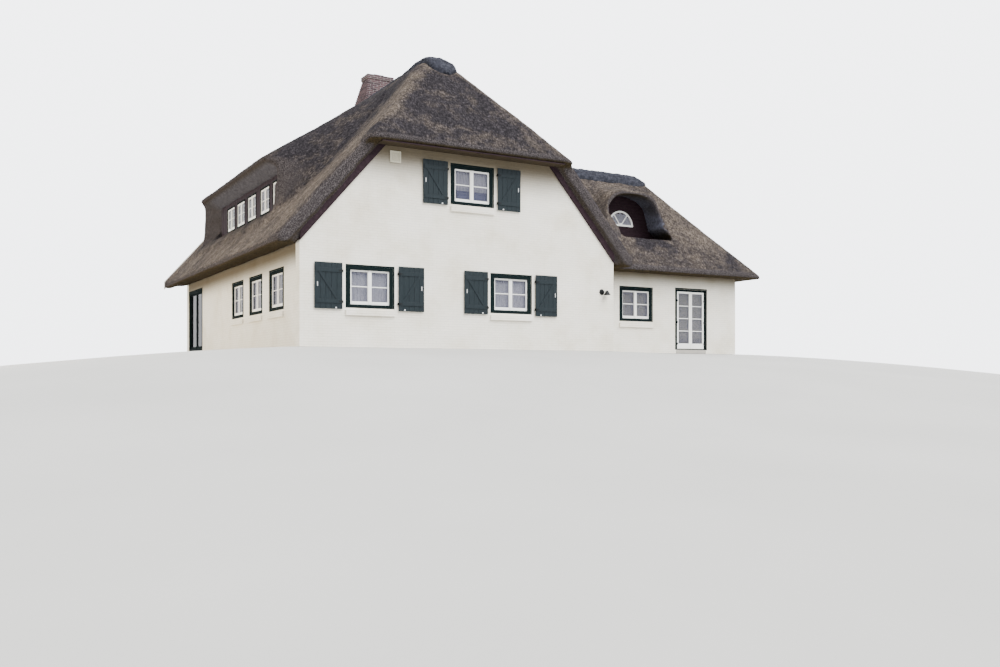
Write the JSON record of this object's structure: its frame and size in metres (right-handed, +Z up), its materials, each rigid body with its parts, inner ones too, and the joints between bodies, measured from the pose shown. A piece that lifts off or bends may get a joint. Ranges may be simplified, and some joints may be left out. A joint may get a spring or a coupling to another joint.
{
  "type": "thatched cottage",
  "caption": "Thatched cottage with lime-washed brick walls, half-hipped main roof, long thatched dormer, hipped side wing with an eyebrow dormer, shuttered windows and opening garden doors.",
  "frame": {"origin": "centre of the bounding box in plan, at ground level", "axes": "+X right along the front gable wall towards the side wing, +Y back along the main ridge, +Z up"},
  "size_m": [16.68, 14.8, 9.19],
  "materials": {
    "lime_washed_wall": "matt lime-washed brickwork",
    "floor_screed": "matt",
    "upper_floor_boards": "matt",
    "reed_thatch": "rough reed",
    "heather_ridge": "rough heather",
    "chimney_brick": "matt brick",
    "dark_red_boards": "satin paint",
    "pale_verge_board": "satin paint",
    "dark_frames": "satin paint, with clear glass",
    "white_joinery": "satin paint, with clear glass",
    "shutter_paint": "satin paint",
    "black_iron": "satin"
  },
  "bodies": {
    "house": {"front_gable_wall": "lime_washed_wall", "back_gable_wall": "lime_washed_wall", "left_wall": "lime_washed_wall", "right_wall": "lime_washed_wall", "wing_front_wall_left": "lime_washed_wall", "wing_front_wall_right": "lime_washed_wall", "wing_door_lintel": "lime_washed_wall", "wing_end_wall": "lime_washed_wall", "wing_back_wall": "lime_washed_wall", "floor_slab": "floor_screed", "wing_floor_slab": "floor_screed", "upper_floor": "upper_floor_boards", "thatch_left_slope": "reed_thatch", "thatch_right_slope": "reed_thatch", "thatch_front_half_hip": "reed_thatch", "thatch_back_half_hip": "reed_thatch", "dormer_thatch": "reed_thatch", "wing_thatch_front": "reed_thatch", "wing_thatch_back": "reed_thatch", "wing_thatch_hip": "reed_thatch", "eyebrow_thatch": "reed_thatch", "main_ridge_cap": "heather_ridge", "wing_ridge_cap": "heather_ridge", "chimney": "chimney_brick", "front_barge_boards": "dark_red_boards", "dormer_front": "dark_red_boards", "eyebrow_front": "dark_red_boards", "back_barge_board_left": "pale_verge_board", "back_barge_board_right": "pale_verge_board", "vent_cover": "pale_verge_board", "gable_window_1": "dark_frames", "gable_window_2": "dark_frames", "gable_window_3": "dark_frames", "left_window_1": "dark_frames", "left_window_2": "dark_frames", "left_window_3": "dark_frames", "right_window_1": "dark_frames", "wing_window_1": "dark_frames", "wing_window_2": "dark_frames", "wing_window_3": "dark_frames", "back_window_1": "dark_frames", "back_window_2": "dark_frames", "back_window_3": "dark_frames", "left_garden_glazing": "dark_frames", "garden_door_frame": "dark_frames", "fan_window": "white_joinery", "wall_lamp": "black_iron"},
    "shutter_lower_left_window_left": {"shutter_lower_left_window_left": "shutter_paint"},
    "shutter_lower_left_window_right": {"shutter_lower_left_window_right": "shutter_paint"},
    "shutter_lower_right_window_left": {"shutter_lower_right_window_left": "shutter_paint"},
    "shutter_lower_right_window_right": {"shutter_lower_right_window_right": "shutter_paint"},
    "shutter_upper_window_left": {"shutter_upper_window_left": "shutter_paint"},
    "shutter_upper_window_right": {"shutter_upper_window_right": "shutter_paint"},
    "garden_door_left_leaf": {"garden_door_left_leaf": "white_joinery"},
    "garden_door_right_leaf": {"garden_door_right_leaf": "white_joinery"}
  },
  "joints": [
    {"name": "shutter_lower_left_window_left_hinge", "type": "hinge", "parent": "house", "child": "shutter_lower_left_window_left", "pos_m": [-6.64, -6.935, 1.515], "axis": [0, 0, 1], "range_deg": [0, 180]},
    {"name": "shutter_lower_left_window_right_hinge", "type": "hinge", "parent": "house", "child": "shutter_lower_left_window_right", "pos_m": [-5.15, -6.935, 1.515], "axis": [0, 0, -1], "range_deg": [0, 180]},
    {"name": "shutter_lower_right_window_left_hinge", "type": "hinge", "parent": "house", "child": "shutter_lower_right_window_left", "pos_m": [-2.485, -6.935, 1.515], "axis": [0, 0, 1], "range_deg": [0, 180]},
    {"name": "shutter_lower_right_window_right_hinge", "type": "hinge", "parent": "house", "child": "shutter_lower_right_window_right", "pos_m": [-0.995, -6.935, 1.515], "axis": [0, 0, -1], "range_deg": [0, 180]},
    {"name": "shutter_upper_window_left_hinge", "type": "hinge", "parent": "house", "child": "shutter_upper_window_left", "pos_m": [-3.7, -6.935, 4.37], "axis": [0, 0, 1], "range_deg": [0, 180]},
    {"name": "shutter_upper_window_right_hinge", "type": "hinge", "parent": "house", "child": "shutter_upper_window_right", "pos_m": [-2.21, -6.935, 4.37], "axis": [0, 0, -1], "range_deg": [0, 180]},
    {"name": "garden_door_left_hinge", "type": "hinge", "parent": "house", "child": "garden_door_left_leaf", "pos_m": [5.2303, -5.684, 1.02], "axis": [0, 0, -1], "range_deg": [0, 100]},
    {"name": "garden_door_right_hinge", "type": "hinge", "parent": "house", "child": "garden_door_right_leaf", "pos_m": [6.3697, -5.684, 1.02], "axis": [0, 0, 1], "range_deg": [0, 100]}
  ]
}
